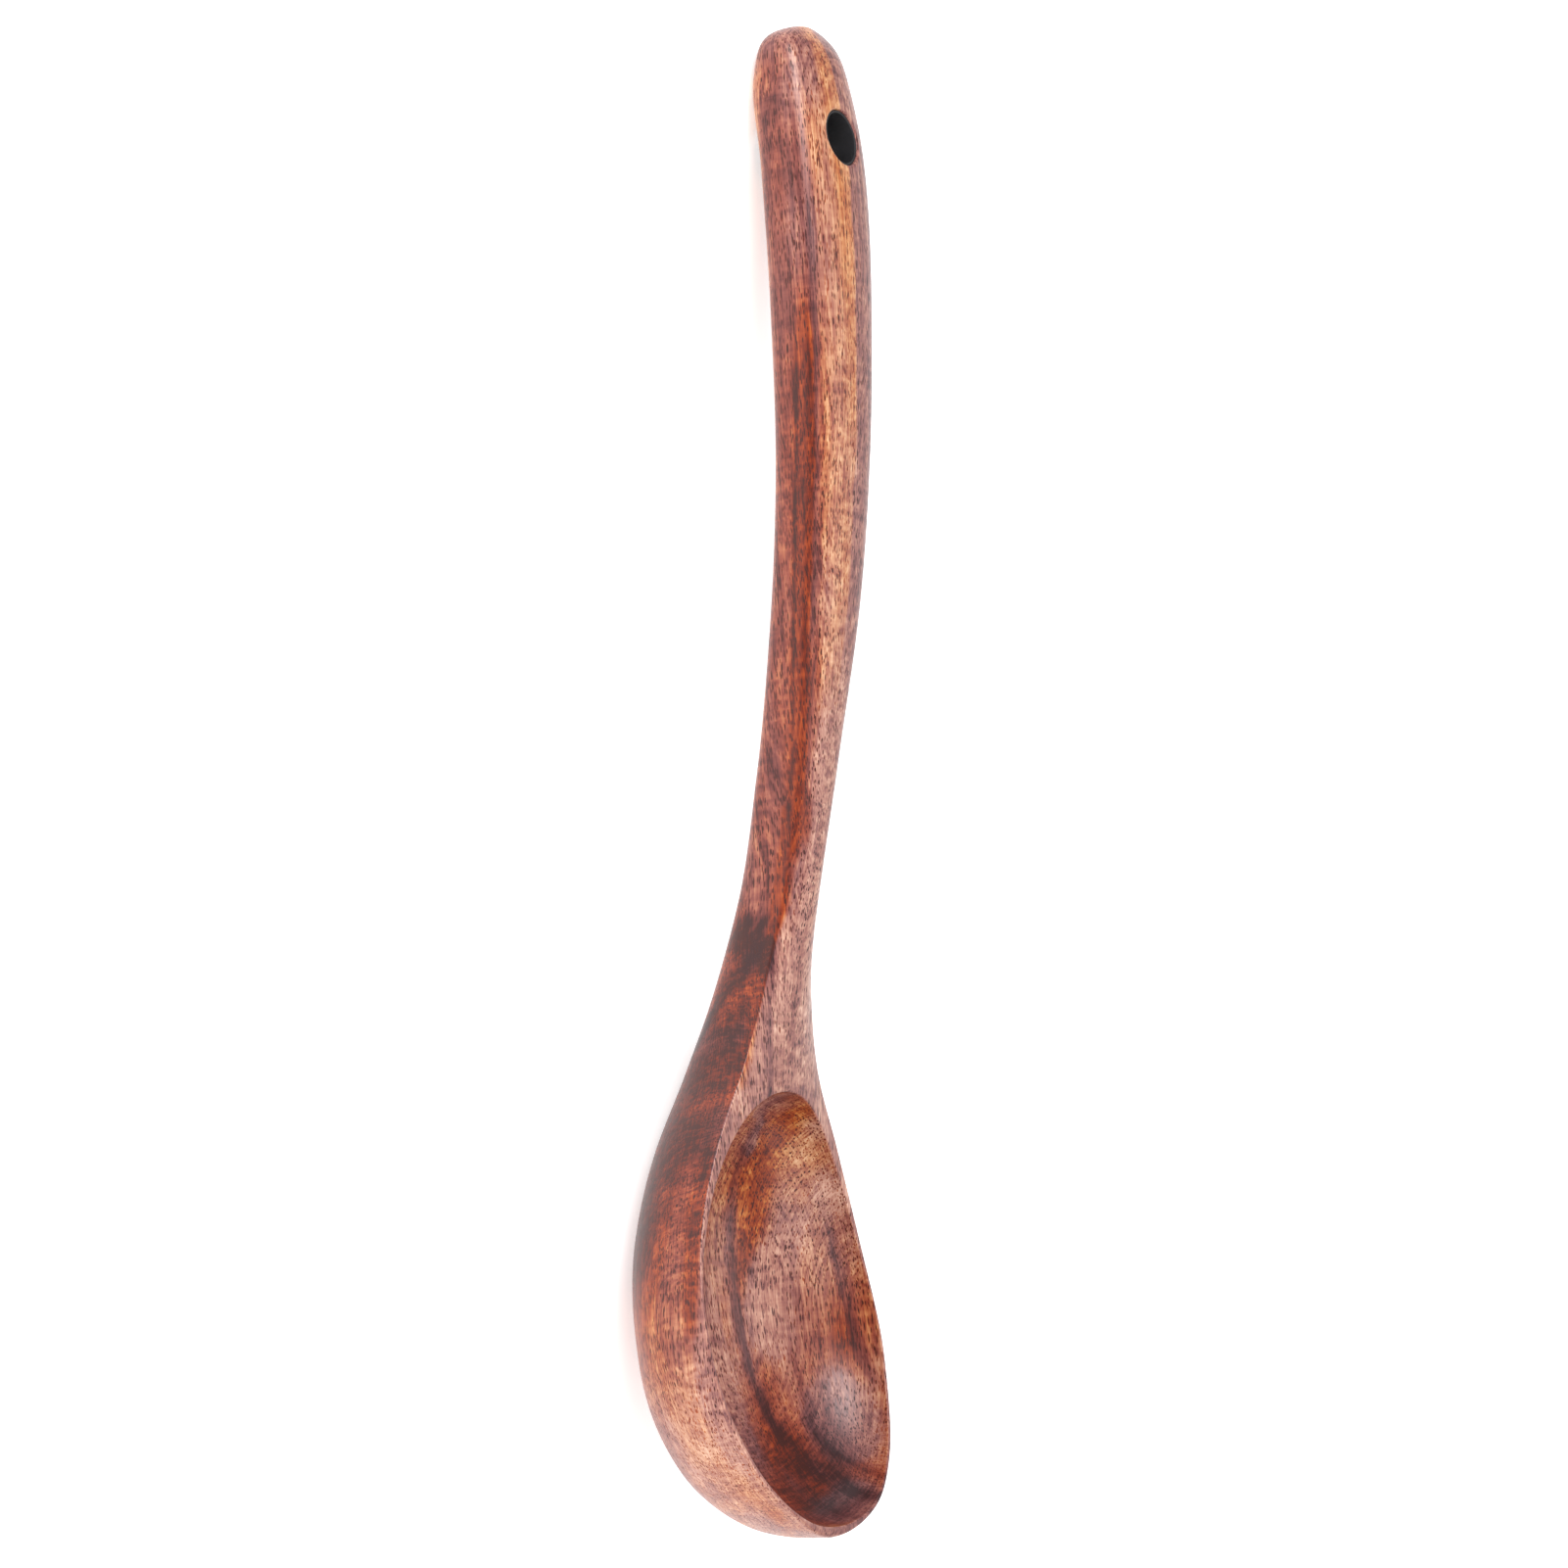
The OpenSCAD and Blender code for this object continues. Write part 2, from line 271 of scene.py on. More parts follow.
def body_grid():
    """The body as rings of points, each ring from the keel up the +Y side, over the top and down the -Y side."""
    x, b = stations()
    half_w = half_width(x)
    half_w[[0, -1]] = 0
    t = thickness(x)
    t[[0, -1]] = 0
    top = top_height(x)
    station = x / SPOON_L
    crown = NECK_CROWN * ramp(CROWN_STATIONS, station)
    edge = top - crown
    middle = top - t / 2
    rounding = ramp(ROUND_STATIONS, station)[:, None]
    hollow = np.where(b > 0, curve(HOLLOW_WIDTH, b) / 2, 0)
    hollow[np.isclose(b, math.pi)] = 0
    rim_ease = np.minimum(RIM_EASE, t / 4) * (1 - rounding[:, 0])

    f = np.radians(90) * np.arange(UNDER_STEPS + 1) / UNDER_STEPS
    bowl_y = np.sin(f) ** (2 / BOWL_POWER) * half_w[:, None]
    bowl_z = (edge - rim_ease)[:, None] - np.cos(f) ** (2 / BOWL_POWER) * (t - crown - rim_ease)[:, None]
    handle_y = np.sin(f) ** (2 / HANDLE_POWER) * half_w[:, None]
    handle_z = middle[:, None] - np.cos(f) ** (2 / HANDLE_POWER) * t[:, None] / 2
    under_y = bowl_y + (handle_y - bowl_y) * rounding
    under_z = bowl_z + (handle_z - bowl_z) * rounding

    f = np.radians(90) * np.arange(1, FACE_STEPS + 1) / FACE_STEPS
    cosine = np.cos(f)
    cosine[-1] = 0
    # Columns are close together at both edges of the bowl's rim, and as in the handle's section further on
    crowding = 2 - ramp(CROWDING_STATIONS, station)[:, None]
    spread = np.maximum(half_w, 0.01)[:, None]  # divided by, so never 0
    bowl_y = hollow[:, None] + (half_w - hollow)[:, None] * cosine**crowding
    bowl_z = edge[:, None] + crown[:, None] * (1 - (bowl_y / spread) ** 2)
    handle_y = cosine ** (2 / HANDLE_POWER) * half_w[:, None]
    handle_z = middle[:, None] + np.sin(f) ** (2 / HANDLE_POWER) * t[:, None] / 2
    face_y = bowl_y + (handle_y - bowl_y) * rounding
    face_z = bowl_z + (handle_z - bowl_z) * rounding

    v = np.cos(np.radians(90) * np.arange(1, HOLLOW_STEPS + 1) / HOLLOW_STEPS)
    v[-1] = 0
    inside_y = hollow[:, None] * v
    land_z = edge[:, None] + crown[:, None] * (1 - (hollow[:, None] / spread) ** 2)
    bowed = (np.sin(b) ** HOLLOW_ALONG)[:, None] * (1 - v * v) ** HOLLOW_ACROSS
    inside_z = land_z - (HOLLOW_EASE + (HOLLOW_D - HOLLOW_EASE) * bowed)

    # Ease both edges of the rim: the face drops towards its outline and towards the hollow's outline
    outer = np.column_stack([x, half_w])
    outer = np.vstack([outer, outer[::-1] * [1, -1]])
    inner = np.column_stack([x, hollow])[(x >= TIP_RIM - 1e-6) & (x <= TIP_RIM + HOLLOW_L + 1e-6)]
    inner = np.vstack([inner, inner[::-1] * [1, -1]])
    face_x = np.repeat(x[:, None], face_y.shape[1], axis=1)
    near = face_x < 0.5 * SPOON_L
    plan = np.column_stack([face_x[near], face_y[near]])
    drop = np.zeros_like(face_z)
    outer_ease = np.repeat(rim_ease[:, None], face_y.shape[1], axis=1)[near]
    drop[near] = ease_drop(outline_distance(plan, outer), outer_ease)
    drop[near] += ease_drop(outline_distance(plan, inner), HOLLOW_EASE)
    face_z = face_z - drop
    # Past the hollow the whole inside collapses onto the middle of the top face
    outside = b[:, None] == 0
    outside[np.isclose(b, math.pi)] = False
    inside_z = np.where(outside, face_z[:, -1:], inside_z)
    inside_z[hollow == 0] = face_z[hollow == 0][:, -1:]

    half_y = np.hstack([under_y, face_y, inside_y])
    half_z = np.hstack([under_z, face_z, inside_z])
    ring_y = np.hstack([half_y, -half_y[:, -2:0:-1]])
    ring_z = np.hstack([half_z, half_z[:, -2:0:-1]])
    ring_x = np.repeat(x[:, None], ring_y.shape[1], axis=1)
    return np.stack([ring_x, ring_y, ring_z], axis=-1)


# ---------------------------------------------------------------- laying the blank on the table
def settle(grid):
    """The matrix, in millimetres, that lays the blank on the table where the CAD body lies, +X to the bowl's tip."""
    keel = grid[:, 0, :]
    bowl = keel[keel[:, 0] < SPOON_L / 2]
    handle = keel[keel[:, 0] > SPOON_L / 2]
    rise = (handle[None, :, 2] - bowl[:, None, 2]) / (handle[None, :, 0] - bowl[:, None, 0])
    tilt = math.atan(rise.min(axis=1).max())
    turn = Matrix.Rotation(math.pi, 4, "Z") @ Matrix.Rotation(tilt, 4, "Y")
    laid = grid.reshape(-1, 3) @ np.array(turn)[:3, :3].T
    low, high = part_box("spoon")
    middle = (low + high) / 2 / MM
    shift = Vector(
        (
            middle.x - (laid[:, 0].min() + laid[:, 0].max()) / 2,
            middle.y,
            low.z / MM - laid[:, 2].min(),
        )
    )
    return Matrix.Translation(shift) @ turn


# ---------------------------------------------------------------- the hanging hole
def handle_face(x, y, side):
    """Height of the handle's top (side 1) or underside (side -1) at a place in plan."""
    t = thickness(x)
    reach = np.clip(1 - (np.abs(y) / half_width(x)) ** HANDLE_POWER, 0, 1)
    return top_height(x) - t / 2 + side * t / 2 * reach ** (1 / HANDLE_POWER)


class Hole:
    """The hanging hole's axis and radius in the blank's axes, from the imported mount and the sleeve's box."""

    def __init__(self, to_table):
        mount = next(m for m in frame["record"]["mounts"] if m["name"] == "hanging_hole")
        to_blank = to_table.inverted()
        self.centre = np.array(to_blank @ (Vector(mount["pos_m"]) / MM))
        self.axis = np.array(to_blank.to_3x3() @ Vector(mount["axis"]).normalized())
        low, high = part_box("hanging_hole_liner")
        self.radius = (high.y - low.y) / 2 / MM
        self.bore_radius = mount["dims"]["r_mm"]
        self.sleeve_length = mount["dims"]["length_mm"]
        self.across = np.array([0.0, 1.0, 0.0])
        self.along = np.cross(self.across, self.axis)

    def polar(self, points):
        """Distance from the axis and the angle round it."""
        offset = points - self.centre
        u, v = offset @ self.along, offset @ self.across
        return np.hypot(u, v), np.arctan2(v, u)

    def point(self, rho, psi, height):
        rho, psi, height = np.broadcast_arrays(rho, psi, height)
        out = self.centre + np.multiply.outer(rho * np.cos(psi), self.along)
        out = out + np.multiply.outer(rho * np.sin(psi), self.across)
        return out + np.multiply.outer(height, self.axis)

    def face_height(self, rho, psi, side):
        """How far along the axis the handle's face is met, by a few Newton steps."""
        height = np.full(np.broadcast(rho, psi).shape, side * self.sleeve_length / 2)
        for _ in range(10):
            p = self.point(rho, psi, height)
            height = height - (p[..., 2] - handle_face(p[..., 0], p[..., 1], side)) / self.axis[2]
        return height


def mouth_rings(hole, border, side):
    """Rings from a border on the handle's face in to the hole's mouth, over its eased edge and into its wall."""
    rho_out, psi = hole.polar(border)
    rho_in = hole.radius + MOUTH_EASE
    rings = []
    for s in np.linspace(0, 1, WINDOW_RINGS + 1)[1:]:
        rho = rho_in + (rho_out - rho_in) * (1 - s) ** WINDOW_SPREAD
        rings.append(hole.point(rho, psi, hole.face_height(rho, psi, side)))
    lip = hole.face_height(np.full(len(psi), rho_in), psi, side)
    for beta in np.radians(MOUTH_ANGLES):
        rho = rho_in - MOUTH_EASE * math.sin(beta)
        rings.append(hole.point(rho, psi, lip - side * MOUTH_EASE * (1 - math.cos(beta))))
    return rings


# ---------------------------------------------------------------- meshes
def add_object(name, data):
    """An object with the data given, linked to the scene."""
    made = bpy.data.objects.new(name, data)
    bpy.context.scene.collection.objects.link(made)
    return made


def new_object(name, points, faces, to_table):
    """A smooth-shaded mesh from points in the blank's axes, in millimetres."""
    mesh = bpy.data.meshes.new(name)
    mesh.from_pydata([tuple(p) for p in points], [], faces)
    mesh.transform(INSIDE_CAD @ Matrix.Scale(MM, 4) @ to_table)
    mesh.polygons.foreach_set("use_smooth", [True] * len(mesh.polygons))
    mesh.update()
    return add_object(name, mesh)


def no_repeats(loop):
    """A closed loop of vertex numbers without neighbours that are the same."""
    return [v for i, v in enumerate(loop) if v != loop[i - 1]]


def build_body(grid, to_table, hole):
    """The wooden body: the grid's rings joined up, with finer rings round the hole and the hole's wall."""
    rings, columns, _ = grid.shape
    flat = grid.reshape(-1, 3)
    _, first, ids = np.unique(np.round(flat, 6), axis=0, return_index=True, return_inverse=True)
    points = list(flat[first])
    ids = ids.reshape(rings, columns)

    # The windows round the hole, on the top face and on the underside, that finer rings fill
    x = grid[:, 0, 0]
    i0, i1 = np.searchsorted(x, hole.centre[0] + np.array([-1, 1]) * (hole.radius + WINDOW_MARGIN))
    top_column = UNDER_STEPS + FACE_STEPS - WINDOW_COLUMNS
    windows = {
        1: [c % columns for c in range(top_column, columns - top_column + 1)],
        -1: [c % columns for c in range(WINDOW_COLUMNS, -WINDOW_COLUMNS - 1, -1)],
    }
    inside = np.zeros((rings, columns), bool)
    for side, span in windows.items():
        inside[i0:i1, span[:-1] if side > 0 else span[1:]] = True

    faces = []
    for i in range(rings - 1):
        for j in range(columns):
            if inside[i, j]:
                continue
            k = (j + 1) % columns
            quad = no_repeats([ids[i, j], ids[i, k], ids[i + 1, k], ids[i + 1, j]])
            if len(set(quad)) > 2:
                faces.append(quad)

    walls = {}
    for side, span in windows.items():
        loop = list(ids[i0, span]) + list(ids[i0 : i1 + 1, span[-1]])
        loop += list(ids[i1, span[::-1]]) + list(ids[i0 : i1 + 1, span[0]][::-1])
        loop = no_repeats(loop)
        border = np.array([points[v] for v in loop])
        previous = loop
        for ring in mouth_rings(hole, border, side):
            start = len(points)
            points.extend(ring)
            current = list(range(start, start + len(ring)))
            faces.extend(bridge(previous, current, side > 0))
            previous = current
        walls[side] = previous
    faces.extend(bridge(walls[1], walls[-1], True))
    return new_object("spoon_body", points, faces, to_table)


def bridge(outer, inner, forwards):
    """Quads between two closed loops of the same length, turned one way or the other."""
    quads = []
    for i in range(len(outer)):
        k = (i + 1) % len(outer)
        quad = [outer[i], outer[k], inner[k], inner[i]]
        quads.append(quad if forwards else quad[::-1])
    return quads


def build_sleeve(hole, to_table):
    """The thin sleeve: a ring with softly eased ends, turned round the hole's axis."""
    half = hole.sleeve_length / 2
    # Each edge's radius and height, and the angle in the profile where its easing starts
    corners = (
        (hole.radius, half, 90),
        (hole.radius, -half, 0),
        (hole.bore_radius, -half, -90),
        (hole.bore_radius, half, 180),
    )
    profile = []
    for rho, height, start in corners:
        rho += -SLEEVE_EASE if rho == hole.radius else SLEEVE_EASE
        height += -SLEEVE_EASE if height > 0 else SLEEVE_EASE
        for step in range(SLEEVE_EASE_STEPS + 1):
            a = math.radians(start - 90 / SLEEVE_EASE_STEPS * step)
            profile.append((rho + SLEEVE_EASE * math.cos(a), height + SLEEVE_EASE * math.sin(a)))
    psi = np.linspace(0, 2 * math.pi, SLEEVE_COLUMNS, endpoint=False)
    points = np.concatenate([hole.point(rho, psi, height) for rho, height in profile])
    faces = []
    for i in range(len(profile)):
        ring, following = (
            [row * SLEEVE_COLUMNS + n for n in range(SLEEVE_COLUMNS)] for row in (i, (i + 1) % len(profile))
        )
        faces.extend(bridge(ring, following, False))
    return new_object("hole_sleeve", points, faces, to_table)


# ---------------------------------------------------------------- materials
class Shader:
    """A material's node tree, with one short call for each kind of node."""

    def __init__(self, name):
        self.material = bpy.data.materials.new(name)
        self.material.use_nodes = True
        self.tree = self.material.node_tree
        self.surface = self.tree.nodes["Principled BSDF"]

    def feed(self, socket, value):
        """Link an output to a socket, or set a plain value on it."""
        if isinstance(value, bpy.types.NodeSocket):
            self.tree.links.new(value, socket)
        elif value is not None:
            socket.default_value = value

    def node(self, kind, *values, **settings):
        made = self.tree.nodes.new(kind)
        for key, setting in settings.items():
            setattr(made, key, setting)
        for socket, value in zip(made.inputs, values):
            self.feed(socket, value)
        return made

    def math(self, operation, *values):
        return self.node("ShaderNodeMath", *values, operation=operation).outputs[0]

    def add(self, a, b):
        return self.math("ADD", a, b)

    def times(self, a, b):
        return self.math("MULTIPLY", a, b)

    def less(self, a, b):
        return self.math("SUBTRACT", a, b)

    def blend(self, amount, a, b):
        """From a to b with the amount."""
        return self.math("MULTIPLY_ADD", amount, self.less(b, a), a)

    def vector(self, operation, *values):
        return self.node("ShaderNodeVectorMath", *values, operation=operation).outputs[0]

    def fade(self, value, start, end, low=0.0, high=1.0):
        """Smooth step: low where the value is at start, high where it is at end."""
        made = self.node("ShaderNodeMapRange", interpolation_type="SMOOTHSTEP")
        for socket, number in zip(made.inputs, (value, start, end, low, high)):
            self.feed(socket, number)
        return made.outputs[0]

    def noise(self, place, size, detail=2.0, roughness=0.5, colour=False):
        """Noise whose grains are about size millimetres along, across and up the blank; its mean is 0.5."""
        scaled = self.vector("DIVIDE", place, size)
        made = self.node("ShaderNodeTexNoise")
        self.feed(made.inputs["Vector"], scaled)
        self.feed(made.inputs["Scale"], 1.0)
        self.feed(made.inputs["Detail"], detail)
        self.feed(made.inputs["Roughness"], roughness)
        return made.outputs["Color" if colour else "Fac"]

    def swing(self, noise, amount):
        """Noise turned into a number round 0."""
        return self.math("MULTIPLY_ADD", noise, 2 * amount, -amount)

    def grain(self, place, size, detail, roughness, amount):
        return self.swing(self.noise(place, size, detail, roughness), amount)

    def drift(self, place, size, detail, reach):
        """Offset in the blank's axes that changes slowly from place to place."""
        noise = self.noise(place, size, detail, colour=True)
        return self.vector("MULTIPLY", self.vector("SUBTRACT", noise, (0.5, 0.5, 0.5)), reach)

    def curve(self, value, points, low, high):
        """A smooth curve through (station, value) points, for values between low and high."""
        made = self.node("ShaderNodeFloatCurve")
        made.mapping.extend = "HORIZONTAL"
        track = made.mapping.curves[0]
        spots = [(s, (v - low) / (high - low)) for s, v in points]
        while len(track.points) < len(spots):
            track.points.new(0.5, 0.5)
        for point, spot in zip(track.points, spots):
            point.location = spot
        made.mapping.update()
        self.feed(made.inputs["Value"], value)
        return self.math("MULTIPLY_ADD", made.outputs[0], high - low, low)

    def ramp(self, value, stops):
        """Colour ramp with (position, colour) stops."""
        made = self.node("ShaderNodeValToRGB")
        stop_list = made.color_ramp.elements
        while len(stop_list) < len(stops):
            stop_list.new(0.5)
        for stop, (place, colour) in zip(stop_list, stops):
            stop.position = place
            stop.color = (*colour, 1)
        self.feed(made.inputs["Fac"], value)
        return made.outputs["Color"]

    def mix(self, amount, a, b):
        """Colour that goes from a to b with the amount."""
        made = self.node("ShaderNodeMix", data_type="RGBA")
        self.feed(made.inputs["Factor"], amount)
        self.feed(made.inputs[6], a)
        self.feed(made.inputs[7], b)
        return made.outputs[2]

    def coat(self, colour, roughness):
        self.feed(self.surface.inputs["Base Color"], colour)
        self.feed(self.surface.inputs["Roughness"], roughness)

    def bump(self, height, strength, depth):
        """Fine relief on the surface; the depth is in millimetres."""
        made = self.node("ShaderNodeBump")
        self.feed(made.inputs["Strength"], strength)
        self.feed(made.inputs["Distance"], depth * MM)
        self.feed(made.inputs["Height"], height)
        self.feed(self.surface.inputs["Normal"], made.outputs["Normal"])


def grain_place(shader, to_table):
    """Place in the blank's axes, in millimetres: x along the grain from the bowl's tip, y across, z up."""
    to_blank = to_table.inverted()
    coordinates = shader.node("ShaderNodeTexCoord").outputs["Object"]
    mapping = shader.node("ShaderNodeMapping")
    shader.feed(mapping.inputs["Vector"], coordinates)
    mapping.inputs["Location"].default_value = to_blank.to_translation()
    mapping.inputs["Rotation"].default_value = to_blank.to_euler()
    mapping.inputs["Scale"].default_value = (1 / MM, 1 / MM, 1 / MM)
    return mapping.outputs["Vector"]


# ---------------------------------------------------------------- what the materials look like
# Tone runs from ink (0) to pale gold (1). Warmth mixes a cool mauve wood (0) and a warm orange one (1).
COOL_WOOD = (
    (0.00, (0.026, 0.007, 0.009)),
    (0.20, (0.092, 0.029, 0.031)),
    (0.40, (0.195, 0.069, 0.064)),
    (0.60, (0.325, 0.137, 0.106)),
    (0.80, (0.465, 0.240, 0.176)),
    (1.00, (0.620, 0.375, 0.285)),
)
WARM_WOOD = (
    (0.00, (0.045, 0.008, 0.005)),
    (0.20, (0.145, 0.018, 0.006)),
    (0.40, (0.290, 0.048, 0.011)),
    (0.60, (0.430, 0.125, 0.029)),
    (0.80, (0.580, 0.263, 0.084)),
    (1.00, (0.720, 0.420, 0.200)),
)
LINING_BLACK = ((0.3, (0.004, 0.0035, 0.0045)), (0.75, (0.013, 0.012, 0.015)))
FLOOR_WHITE = ((0.3, (0.90, 0.90, 0.90)), (0.7, (0.93, 0.93, 0.93)))
FLOOR_GLOW = 0.50
# Growth bands that stand on edge, and one painted sheen: place across the blank and strength, both along it,
# half width, then the tone and warmth they add
STANDING_BANDS = (
    # The main band: down the neck's middle, along the bottom of the hollow and out to the tip's far side
    (
        (
            (0, -16.5), (0.03, -15.5), (0.058, -12.3), (0.095, -10.1), (0.17, -9.0),
            (0.235, -6.8), (0.275, -5.6), (0.30, -1.0), (0.42, 0.5),
        ),
        ((0, 0.6), (0.06, 0.8), (0.12, 0.9), (0.18, 0.8), (0.26, 0.7), (0.30, 0.4), (0.45, 0.1), (0.5, 0)),
        1.2, -0.44, -0.3,
    ),
    # The inner band, further up the far wall near the tip
    (
        ((0, -21.0), (0.043, -19.5), (0.068, -17.5), (0.093, -18.1), (0.12, -18.3), (0.2, -19)),
        ((0, 0.9), (0.10, 0.9), (0.14, 0.2), (0.2, 0)),
        0.8, -0.24, 0.2,
    ),
    # The band under the far rim
    (
        ((0, -27), (0.11, -26.7), (0.136, -26.5), (0.17, -25.5), (0.193, -23.7), (0.235, -19.7), (0.27, -17)),
        ((0, 0), (0.09, 0.3), (0.13, 1), (0.2, 0.8), (0.26, 0.2), (0.3, 0)),
        0.4, -0.28, -0.2,
    ),
    # The warm dark patch beside the main band at the neck's end of the hollow
    (
        ((0, -15), (0.17, -10.8), (0.2, -11.6), (0.235, -11.7), (0.26, -10.3), (0.285, -8.5)),
        ((0, 0), (0.13, 0), (0.17, 0.4), (0.215, 0.9), (0.26, 1), (0.285, 0.4), (0.3, 0)),
        1.9, -0.29, 1.1,
    ),
    # A narrow cool stripe on the neck's top face
    (
        ((0.25, 5), (0.3, 5.8), (0.36, 6.6), (0.42, 6), (0.5, 6)),
        ((0.2, 0), (0.27, 0.8), (0.36, 0.9), (0.42, 0.2), (0.5, 0)),
        0.6, -0.36, -0.5,
    ),
    # A paler, cooler streak down the hollow's end wall, inside the main band: a painted sheen along it
    (
        ((0.25, -7.4), (0.273, -6.0), (0.292, -1.7), (0.31, -1.0)),
        ((0.255, 0), (0.268, 1), (0.292, 1), (0.30, 0)),
        0.55, 0.16, -1.0,
    ),
    # Paler and darker lines on the neck's top
    (
        ((0.25, 2.0), (0.33, 1.2), (0.42, 1.0), (0.5, 1.2)),
        ((0.28, 0), (0.31, 0.7), (0.42, 0.8), (0.5, 0.2), (0.55, 0)),
        0.8, -0.10, -0.5,
    ),
)
# The same for bands that lie flat and come out on the spoon's side, with their height instead
LYING_BANDS = (
    # The red streak along the handle's side, just under its top edge, and the dark line on each side of it
    (
        ((0.42, 3.0), (0.49, 6.6), (0.59, 11.5), (0.68, 15.1), (0.81, 18.1), (0.9, 19.1), (1, 19)),
        ((0.40, 0), (0.46, 0.4), (0.55, 0.9), (0.74, 1), (0.79, 0.5), (0.83, 0.1), (0.95, 0)),
        1.1, -0.15, 2.2,
    ),
    (
        ((0.42, 1.8), (0.49, 5.3), (0.59, 9.7), (0.68, 13.2), (0.81, 16.3), (0.9, 17.4), (1, 18)),
        ((0.40, 0), (0.46, 0.3), (0.52, 0.9), (0.72, 1), (0.78, 0.4), (0.82, 0.1), (0.95, 0)),
        0.35, -0.28, 0.3,
    ),
    (
        ((0.42, 4.2), (0.49, 7.9), (0.59, 13.0), (0.68, 16.6), (0.81, 19.6), (0.9, 20.6), (1, 20.6)),
        ((0.40, 0), (0.46, 0.2), (0.55, 0.8), (0.72, 0.9), (0.79, 0.5), (0.84, 0.1), (0.95, 0)),
        0.5, -0.12, -0.7,
    ),
    # The orange strip under the neck's crisp edge
    (
        ((0.3, -5.0), (0.33, -3.6), (0.365, -2.3), (0.40, 0.2), (0.43, 1.8), (0.47, 4.2)),
        ((0.29, 0), (0.33, 1), (0.365, 0.9), (0.385, 0.5), (0.41, 0.9), (0.44, 1), (0.48, 0)),
        0.9, -0.03, 1.5,
    ),
    # The orange strip under the bowl's rim
    (
        ((0.1, -6.5), (0.17, -8.0), (0.25, -7.6)),
        ((0.13, 0), (0.17, 0.8), (0.22, 0.9), (0.26, 0)),
        1.2, -0.28, 1.2,
    ),
)
# Where the handle's side, in a redder and darker layer that is partly painted shade, gives way to its top:
# place across, along the blank
SIDE_EDGE = (
    (0.40, 2.6), (0.45, 3.0), (0.5, 4.4), (0.59, 6.3), (0.68, 8.0),
    (0.81, 8.9), (0.86, 9.3), (0.93, 10.0), (1, 10.0),
)
# Tone and warmth that the sides' layer adds, along the blank: partly the wood's own colour, partly painted shade
SIDE_TONE = (
    (0, 0), (0.06, -0.04), (0.15, -0.12), (0.2, -0.25), (0.25, -0.32),
    (0.3, -0.40), (0.34, -0.40), (0.38, -0.3), (0.46, -0.37), (0.52, -0.36), (0.66, -0.41), (0.8, -0.42), (1, -0.44),
)
SIDE_WARMTH = (
    (0, -0.2), (0.07, -0.1), (0.2, 0.2), (0.27, 0.45), (0.34, 0.5),
    (0.39, 0.3), (0.45, -0.2), (0.55, -0.1), (0.75, -0.28), (1, -0.3),
)
# Tone and warmth that the top's layer adds
TOP_TONE = (
    (0, -0.1), (0.25, -0.05), (0.33, 0.03), (0.42, 0.06),
    (0.5, -0.03), (0.6, -0.06), (0.9, -0.07), (1, -0.10),
)
TOP_WARMTH = (
    (0, -0.9), (0.25, -0.7), (0.36, -1.0), (0.42, -1.4), (0.48, -1.2),
    (0.56, -0.6), (0.66, -0.32), (0.8, -0.15), (1, 0),
)
# Where the top's far part begins: its darker, cooler layer is painted shade and a painted cool reflection
FAR_EDGE = ((0.40, -1.5), (0.5, -0.8), (0.7, -0.3), (1, -0.4))
